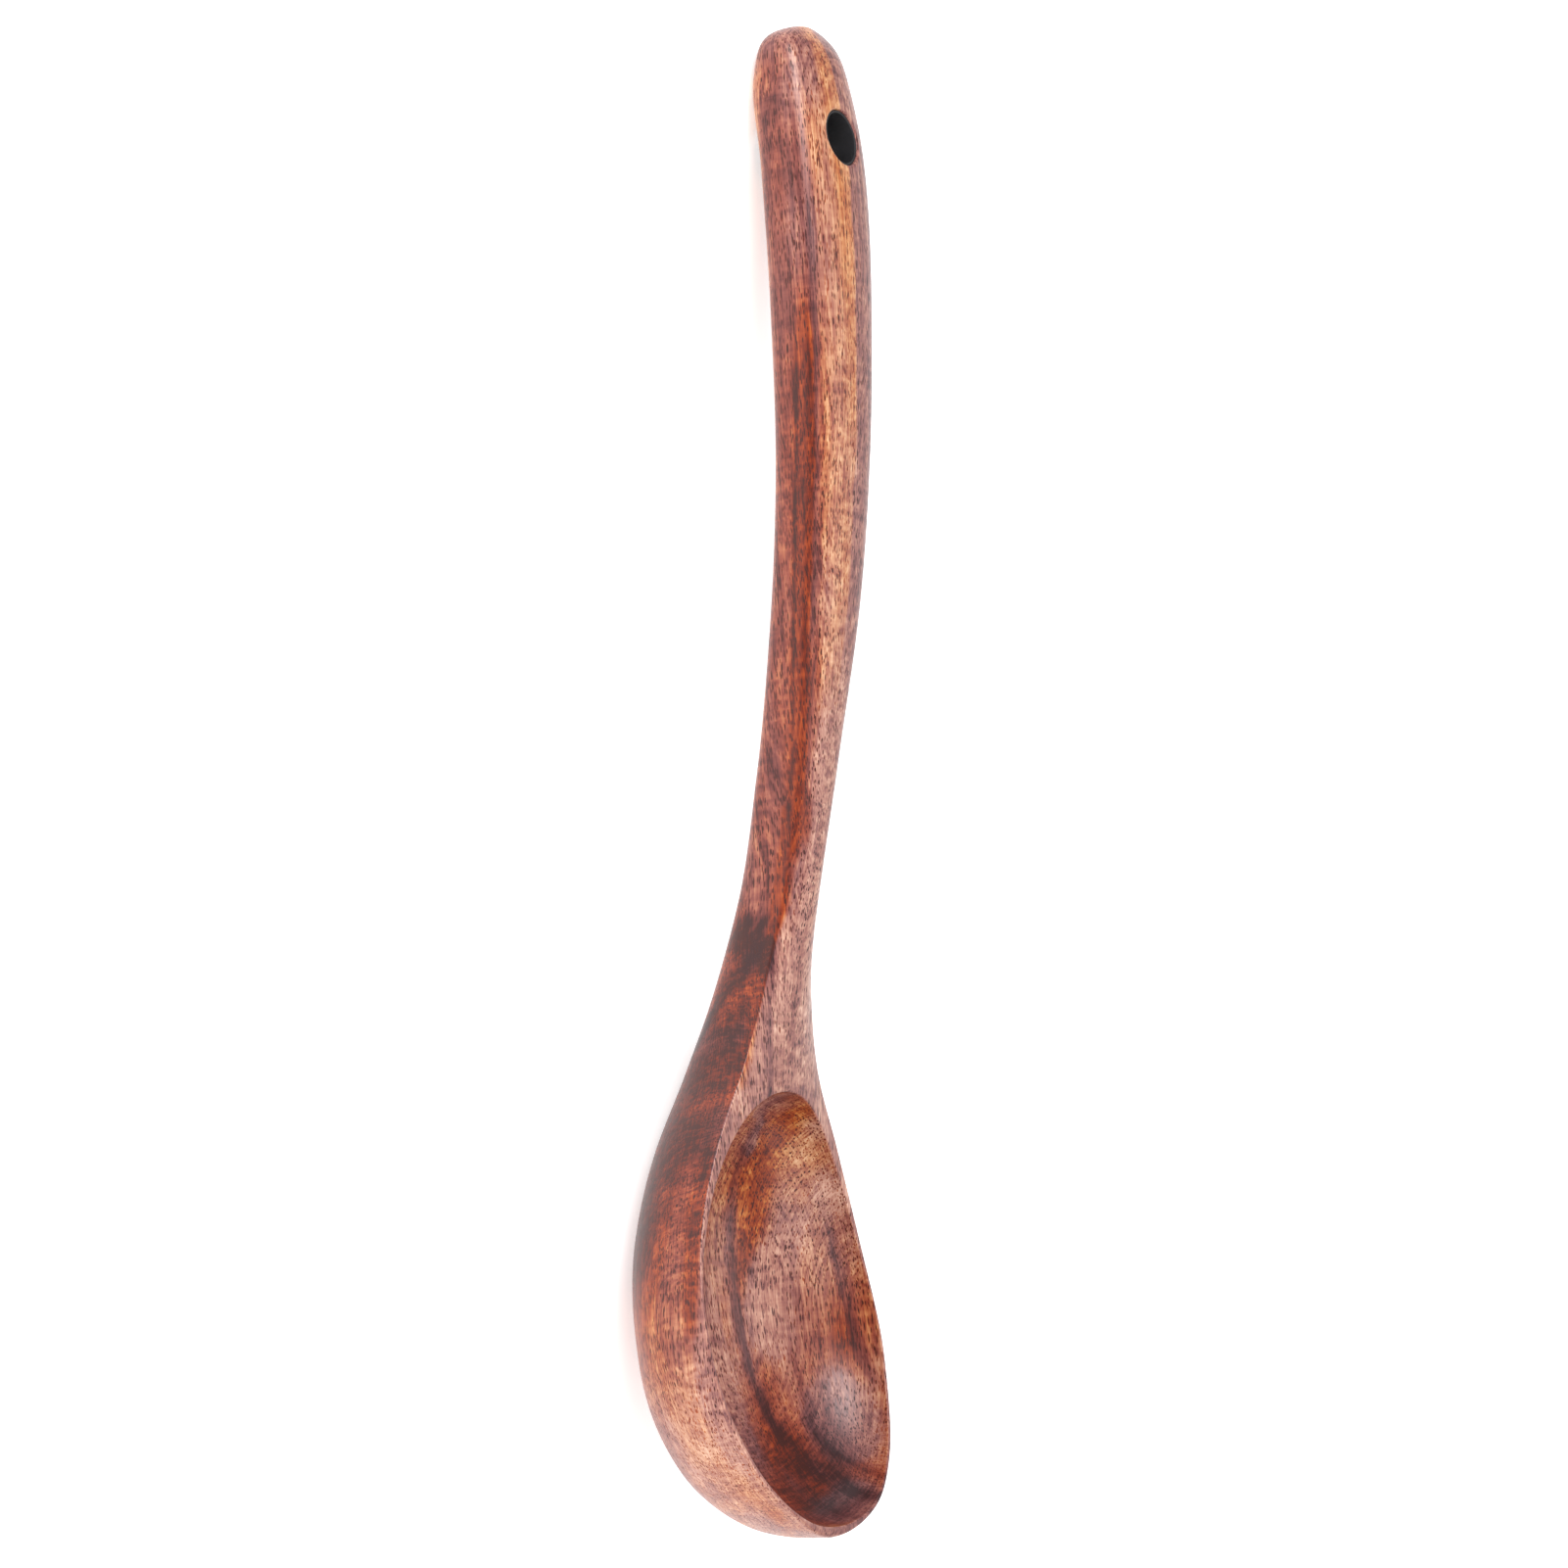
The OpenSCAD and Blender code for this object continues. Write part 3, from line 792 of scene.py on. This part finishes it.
# Clouds of figure in the wood, some of them painted highlights and shade: centre and radii in the blank's axes,
# then the tone and warmth they add
CLOUDS = (
    # Outside of the bowl
    ((14, 24, -14), (20, 14, 16), 0.26, 0.05),
    ((14, 18, -20), (12, 12, 5), -0.12, -0.1),
    ((30, 28, -20), (16, 12, 8), 0.06, 0.5),
    ((10, 19, -11), (6, 6, 5), -0.16, -0.1),
    ((4, 13.5, -3.5), (4, 4, 2.5), -0.10, 0.6),
    # Paler and cooler near the tip's outline: a painted highlight
    ((3, 10, -8.5), (4, 6, 4), 0.06, -0.5),
    ((54, 25, -24), (20, 14, 11), -0.34, 1.7),
    ((64, 17, -23), (36, 18, 11), -0.12, 0.8),
    ((28, 28, -5), (30, 11, 4), 0.01, -0.8),
    ((68, 20, -15), (9, 9, 11), -0.24, 0.2),
    ((86, 10, -9), (5, 6, 9), -0.15, -0.5),
    ((79, 12, -10), (6, 7, 9), -0.23, 0.3),
    ((24, 20, -20), (24, 16, 9), -0.14, -0.2),
    ((60, 27, -7), (9, 6, 4), 0.18, 0.0),
    ((70, 22, -6), (14, 8, 4), 0.04, -0.5),
    ((90, 8, -9), (6, 4, 6), 0.0, 0.5),
    # Sides of the neck and top of the neck
    ((113, 6, 5), (8, 5, 4), 0.10, -0.8),
    ((106, -1, 3), (16, 4, 5), 0.08, -0.2),
    ((103, 6, -7), (4.5, 5, 7), -0.36, 0.2),
    ((94, 9, -8), (5, 5, 8), 0.06, 0.8),
    ((99, 6, -1), (4, 5, 3), -0.16, 0.0),
    ((108, -4, 4), (18, 5, 4), -0.04, -0.5),
    # The hollow
    # Much darker towards the hollow's tip end: partly the wood's darker colour, partly painted shade in the deep end
    ((10, -9, -11), (20, 16, 14), -0.50, 0.45),
    ((4, -13, -5), (7, 9, 6), -0.02, -2.4),
    ((22, -2, -21), (26, 6, 8), -0.02, -1.0),
    ((4, -8, -6), (6, 6, 6), -0.12, -0.1),
    ((12, -16, -10), (5, 4, 5), -0.12, -0.1),
    ((23, -7.5, -20), (8, 4, 5), -0.14, 0.3),
    ((61, -21, -9), (4, 3, 4), 0.22, -0.4),
    ((46, -17, -16), (20, 6, 9), 0.0, -0.45),
    ((58, 2, -18), (8, 5, 6), 0.0, 0.3),
    ((17, -10, -15), (8, 6, 5), -0.04, 0.6),
    ((27, -11.5, -19), (8, 3, 4), -0.06, 0.4),
    # Darker and much cooler: the cool tint is a painted reflection of the sheen lamp's highlight
    ((21, -21, -10), (10, 7, 8), -0.18, -2.2),
    # Paler and cooler: a painted highlight, the broad sheen at the hollow's bottom
    ((42, -15, -20), (12, 5, 6), 0.14, -1.7),
    ((30, -21, -14), (8, 5, 5), -0.12, 0.1),
    ((29, -14, -18), (9, 4, 5), -0.12, 0.1),
    ((38, -26, -9), (12, 5, 6), -0.14, 0.4),
    ((54, -17, -14), (9, 7, 8), 0.10, -0.2),
    ((61, -8, -18), (10, 6, 6), -0.04, 0.7),
    ((66, -12, -9), (8, 8, 7), 0.18, 0.1),
    ((72, -12, -5), (5, 6, 5), 0.20, -0.5),
    ((33, -25, -12), (7, 3, 4), -0.26, 0.3),
    ((59, -20.5, -8), (9, 4, 4.5), 0.22, -0.4),
    # The handle's end
    ((250, 7, 19), (12, 5, 5), -0.07, -0.35),
    ((250, -3.5, 20), (14, 3, 5), 0.08, 0.2),
    ((257, 6, 13), (7, 9, 8), -0.24, -0.6),
    # Paler and cooler along the ridge: a painted highlight of its gloss
    ((221, 9.5, 18), (12, 3, 3), 0.08, -0.4),
    ((246, -5, 20), (14, 6, 5), 0.10, -0.2),
    ((250, 6, 19), (11, 4, 4), -0.12, -0.5),
    # This cloud and the next two, along and beside the ridge: the same painted highlight and its cool reflection
    ((214, 9.5, 17.5), (12, 2, 2.5), 0.06, 0.0),
    ((246, 9.5, 18), (12, 3, 2), 0.12, -0.3),
    ((228, 7, 21), (26, 4, 4), -0.02, -0.4),
    ((253.5, 9.5, 16), (6, 3, 3), -0.12, 0.0),
)


# Places of bands and edges are kept between minus this and plus this, millimetres
TRACK_REACH = 30
# How steeply a band fades beyond its half width
BAND_POWER = 2.8
# Parts of its radii at which a cloud starts and is full
CLOUD_START, CLOUD_FULL = 1.15, 0.15
# Heights between which the bowl's top face gives way to the hollow
LAND_HEIGHTS = (-8.5, -7.2)
# Depth of the point inside the bowl that its outside faces away from, millimetres
BOWL_MIDDLE_DEPTH = 4
# Tone below which no band or cloud takes the wood
DARKEST = 0.02
# Noise in the grain: its size along, across and up the blank, its detail and roughness, and how much it adds
MOTTLING = ((22, 7, 9), 3, 0.5, 0.18)
GROWTH_LINES = ((40, 0.8, 1.4), 4, 0.7, 0.32)
FINE_FIBRES = ((9, 0.25, 3.0), 2, 0.6, 0.42)
CURL = ((1.5, 6, 6), 2, 0.6, 0.55)
FLAT_LINES = ((14, 3.0, 0.30), 2, 0.6, 0.40)
WARM_PATCHES = ((34, 5, 6), 2, 0.5, 0.55)
SHEEN_PATCHES = ((12, 0.8, 0.8), 2, 0.5, 0.10)
# Pores: where each of the two sets starts and the size of its cells, how far a pore reaches in its cell
# and how soft its edge is, then what it adds to tone, warmth, roughness and height
PORE_SETS = (((0, 0, 0), (3.4, 0.48, 0.48)), ((7.3, 3.1, 5.7), (2.0, 0.38, 0.38)))
PORE_REACH, PORE_SOFTNESS = 0.25, 0.06
PORE_TONE, PORE_WARMTH, PORE_ROUGHNESS, PORE_HEIGHT = -0.76, 1.5, 0.12, -0.6
# The oil's sheen and the relief of the fibres
OIL_ROUGHNESS = 0.33
OIL_IOR = 1.40
WOOD_BUMP, WOOD_RELIEF = 0.22, 0.06


def bell(s, offset, half):
    """Amount of a band: 1 in its middle, a half at its half width, soft beyond it."""
    reach = s.math("ABSOLUTE", s.math("DIVIDE", offset, half))
    return s.math("DIVIDE", 1.0, s.add(s.math("POWER", reach, BAND_POWER), 1.0))


def track_at(s, station, track):
    """Place across or up the blank that a track gives at a station."""
    return s.curve(station, track, -TRACK_REACH, TRACK_REACH)


def layers(s, to_table, along, across, up, station):
    """Tone and warmth of the broad layers: sides, top, rim and the top's far part.

    The sides and the top's far part are partly painted shade, and the rim is a painted highlight.
    """
    # How far the surface faces up, and away from the bowl's middle
    normal = s.node("ShaderNodeNewGeometry").outputs["Normal"]
    turn = to_table.to_3x3()
    facing = []
    for axis in ((0, 1, 0), (0, 0, 1)):
        towards = (turn @ Vector(axis)).normalized()
        facing.append(s.node("ShaderNodeVectorMath", normal, towards, operation="DOT_PRODUCT").outputs["Value"])
    faces_side, faces_up = facing
    outward = s.add(s.times(across, faces_side), s.times(s.add(up, BOWL_MIDDLE_DEPTH), faces_up))
    outside = s.fade(outward, -1, 3)
    above_hollow = s.fade(up, *LAND_HEIGHTS)

    # On the handle the layers part at a line on the surface, on the bowl and neck they follow its faces
    before_handle = s.fade(along, 124, 98)
    top_face = s.times(s.fade(faces_up, 0.45, 0.8), above_hollow)
    side_face = s.times(s.less(1.0, top_face), outside)
    flank = s.fade(s.less(across, track_at(s, station, SIDE_EDGE)), -1.3, 0.6)
    side = s.blend(before_handle, flank, side_face)
    top = s.blend(before_handle, s.less(1.0, flank), top_face)

    tone = s.fade(along, 70, 150, 0.60, 0.74)
    warmth = s.fade(along, 80, 150, 0.40, 0.72)
    # The sides' darker tone is partly the wood's own colour and partly painted shade
    tone = s.add(tone, s.times(side, s.curve(station, SIDE_TONE, -1, 1)))
    warmth = s.add(warmth, s.times(side, s.curve(station, SIDE_WARMTH, -1, 1)))
    tone = s.add(tone, s.times(top, s.curve(station, TOP_TONE, -1, 1)))
    warmth = s.add(warmth, s.times(top, s.curve(station, TOP_WARMTH, -1, 1)))

    # The bowl's eased outer edge is paler and cooler: a painted highlight, the cool reflection along the eased edge
    rim = s.times(s.times(s.fade(faces_up, 0.15, 0.45), s.fade(faces_up, 0.97, 0.75)), above_hollow)
    rim = s.times(s.times(rim, s.fade(along, 84, 74)), outside)
    tone = s.add(tone, s.times(rim, 0.12))
    warmth = s.add(warmth, s.times(rim, -0.9))
    # The top's far part is darker and cooler: painted shade and a painted cool reflection where it turns away
    beyond = s.less(across, track_at(s, station, FAR_EDGE))
    far_shade_and_reflection = s.times(s.fade(beyond, 0.6, -0.6), s.fade(along, 100, 185))
    tone = s.add(tone, s.times(far_shade_and_reflection, -0.20))
    warmth = s.add(warmth, s.times(far_shade_and_reflection, -0.8))
    return tone, warmth


def figured(s, tone, warmth, figure, across, up, station):
    """Tone and warmth with the growth bands and the clouds of figure added.

    Some of the bands and clouds are painted highlights and shade.
    """
    for bands, level in ((STANDING_BANDS, across), (LYING_BANDS, up)):
        for track, strength, half, tone_change, warmth_change in bands:
            offset = s.less(level, track_at(s, station, track))
            amount = s.times(bell(s, offset, half), s.curve(station, strength, 0, 1))
            if bands is LYING_BANDS:
                amount = s.times(amount, s.fade(across, 1, 4))
            tone = s.math("MULTIPLY_ADD", amount, tone_change, tone)
            warmth = s.math("MULTIPLY_ADD", amount, warmth_change, warmth)
    for centre, radii, tone_change, warmth_change in CLOUDS:
        offset = s.vector("DIVIDE", s.vector("SUBTRACT", figure, centre), radii)
        reach = s.node("ShaderNodeVectorMath", offset, operation="LENGTH").outputs["Value"]
        amount = s.fade(reach, CLOUD_START, CLOUD_FULL)
        tone = s.math("MULTIPLY_ADD", amount, tone_change, tone)
        warmth = s.math("MULTIPLY_ADD", amount, warmth_change, warmth)
    return s.math("MAXIMUM", tone, DARKEST), warmth


def open_pores(s, fibre):
    """Short dashes along the grain, denser in some layers."""
    pores = None
    for start, size in PORE_SETS:
        cells = s.node("ShaderNodeTexVoronoi", feature="F1")
        s.feed(cells.inputs["Vector"], s.vector("DIVIDE", s.vector("ADD", fibre, start), size))
        s.feed(cells.inputs["Scale"], 1.0)
        dash = s.fade(cells.outputs["Distance"], PORE_REACH + PORE_SOFTNESS, PORE_REACH - PORE_SOFTNESS)
        pores = dash if pores is None else s.math("MAXIMUM", pores, dash)
    density = s.fade(s.noise(fibre, (24, 1.8, 2.6), detail=2), 0.34, 0.60, 0.5, 1.0)
    return s.times(pores, density)


def wood(to_table):
    """Oiled hardwood: layers that stand on edge along the blank, crossed by curl and pricked by long pores.

    Some shade, highlights and cool reflections are painted into its colour too.
    """
    s = Shader("oiled_wood")
    place = grain_place(s, to_table)
    # The fibres wander slowly off the blank's axis, so no streak runs quite straight
    wander = s.drift(place, (60, 22, 22), 1, (0, 6, 6))
    ripple = s.drift(place, (9, 4, 4), 3, (3, 1.5, 1.5))
    figure = s.vector("ADD", place, ripple)
    fibre = s.vector("ADD", s.vector("ADD", place, wander), s.vector("MULTIPLY", ripple, (0, 0.25, 0.25)))
    along, across, up = s.node("ShaderNodeSeparateXYZ", figure).outputs
    station = s.math("DIVIDE", along, SPOON_L)

    tone, warmth = layers(s, to_table, along, across, up, station)
    tone, warmth = figured(s, tone, warmth, figure, across, up, station)

    # Grain, fainter where the wood is dark and, but for the flat lines, towards the tip
    depth = s.fade(tone, 0.15, 0.60, 0.7, 1.0)
    tip_calm = s.fade(along, 18, 50, 0.7, 1.0)
    detail = s.add(s.grain(place, *MOTTLING), s.grain(fibre, *GROWTH_LINES))
    detail = s.add(detail, s.grain(fibre, *FINE_FIBRES))
    curl = s.times(s.grain(fibre, *CURL), s.noise(place, (24, 10, 10)))
    detail = s.times(s.add(detail, curl), tip_calm)
    detail = s.add(detail, s.grain(fibre, *FLAT_LINES))
    tone = s.add(tone, s.times(detail, depth))
    warmth = s.add(warmth, s.grain(place, *WARM_PATCHES))

    pores = s.times(open_pores(s, fibre), depth)
    tone = s.math("MULTIPLY_ADD", s.times(pores, tip_calm), PORE_TONE, tone)
    warmth = s.math("MULTIPLY_ADD", pores, PORE_WARMTH, warmth)

    rough = s.math("MULTIPLY_ADD", pores, PORE_ROUGHNESS, s.add(s.grain(fibre, *SHEEN_PATCHES), OIL_ROUGHNESS))
    s.coat(s.mix(warmth, s.ramp(tone, COOL_WOOD), s.ramp(tone, WARM_WOOD)), rough)
    fibres = s.noise(fibre, (14, 0.35, 0.35), detail=2)
    s.bump(s.math("MULTIPLY_ADD", fibres, 0.5, s.times(pores, PORE_HEIGHT)), WOOD_BUMP, WOOD_RELIEF)
    s.surface.inputs["IOR"].default_value = OIL_IOR
    return s.material


def black_lining(to_table):
    """Matt black plastic with a faint mould grain and rubbed patches."""
    s = Shader("black_lining")
    place = grain_place(s, to_table)
    worn = s.noise(place, (3.0, 3.0, 3.0), detail=3)
    fine = s.noise(place, (0.22, 0.22, 0.22), detail=2)
    s.coat(s.ramp(worn, LINING_BLACK), s.add(s.swing(fine, 0.12), 0.6))
    s.bump(fine, 0.3, 0.03)
    return s.material


def floor_white():
    """Pale studio floor with a barely visible unevenness."""
    s = Shader("studio_floor")
    place = s.node("ShaderNodeTexCoord").outputs["Object"]
    cloudy = s.noise(place, (0.35, 0.35, 0.35), detail=3)
    s.coat(s.ramp(cloudy, FLOOR_WHITE), s.add(s.swing(cloudy, 0.05), 0.9))
    s.surface.inputs["Emission Color"].default_value = (1, 1, 1, 1)
    s.surface.inputs["Emission Strength"].default_value = FLOOR_GLOW
    return s.material


# ---------------------------------------------------------------- the two pieces
grid = body_grid()
to_table = settle(grid)
hole = Hole(to_table)
body = build_body(grid, to_table, hole)
sleeve = build_sleeve(hole, to_table)
body.data.materials.append(wood(to_table))
sleeve.data.materials.append(black_lining(to_table))
for piece, node, slot in ((body, "spoon", "wood"), (sleeve, "hanging_hole_liner", "black_lining")):
    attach(piece, "root")
    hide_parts(node)

# ---------------------------------------------------------------- floor, light and camera
FLOOR_HALF = 3  # metres
floor_mesh = bpy.data.meshes.new("floor")
floor_corners = [(FLOOR_HALF * x, FLOOR_HALF * y, 0) for x, y in ((-1, -1), (1, -1), (1, 1), (-1, 1))]
floor_mesh.from_pydata(floor_corners, [], [(0, 1, 2, 3)])
floor = add_object("floor", floor_mesh)
floor_mesh.materials.append(floor_white())

WORLD_LIGHT = 0.4
world = bpy.data.worlds.new("world")
bpy.context.scene.world = world
world.use_nodes = True
backdrop = world.node_tree.nodes["Background"].inputs
backdrop["Color"].default_value = (1, 1, 1, 1)
backdrop["Strength"].default_value = WORLD_LIGHT
bpy.context.scene.view_settings.view_transform = "Standard"

# Softboxes: azimuth and elevation of each, degrees, its distance and width, metres, and its power, watts
LIGHTS = (
    ("key", 314, 44, 1.3, 1.5, 10.8),
    ("tip_fill", 0, 18, 1.3, 1.0, 4.5),
    ("overhead", 102, 64, 1.3, 1.0, 4.9),
    ("backdrop_glow", 90, 9, 1.5, 1.6, 5.2),
    ("sheen", 220, 32, 1.3, 0.65, 14.0),
)
for name, azimuth, elevation, distance, width, power in LIGHTS:
    a, e = math.radians(azimuth), math.radians(elevation)
    towards = Vector((math.cos(a) * math.cos(e), math.sin(a) * math.cos(e), math.sin(e)))
    lamp_data = bpy.data.lights.new(name, "AREA")
    lamp_data.shape = "DISK"
    lamp_data.size = width
    lamp_data.energy = power
    lamp = add_object(name, lamp_data)
    lamp.location = towards * distance
    lamp.rotation_euler = (-towards).to_track_quat("-Z", "Y").to_euler()

# Where the camera looks from, degrees, how far away and at what, metres, and its lens and sensor, millimetres
CAMERA_AZIMUTH, CAMERA_ELEVATION, CAMERA_ROLL = 2.743, 32.025, 93.562
CAMERA_DISTANCE = 4 * SPOON_L * MM
CAMERA_TARGET = Vector((1.93, 0.0, 15.43)) * MM
CAMERA_LENS, CAMERA_SENSOR = 138.63, 36

az, el, roll = (math.radians(turn) for turn in (CAMERA_AZIMUTH, CAMERA_ELEVATION, CAMERA_ROLL))
away = Vector((math.sin(az) * math.cos(el), -math.cos(az) * math.cos(el), math.sin(el)))
level = Vector((math.cos(az), math.sin(az), 0))
upright = away.cross(level)
right = math.cos(roll) * level + math.sin(roll) * upright
up = away.cross(right)
camera_data = bpy.data.cameras.new("camera")
camera = add_object("camera", camera_data)
facing = Matrix((right, up, away)).transposed().to_4x4()
camera.matrix_world = Matrix.Translation(CAMERA_TARGET + away * CAMERA_DISTANCE) @ facing
camera_data.sensor_width = CAMERA_SENSOR
camera_data.lens = CAMERA_LENS
bpy.context.scene.camera = camera
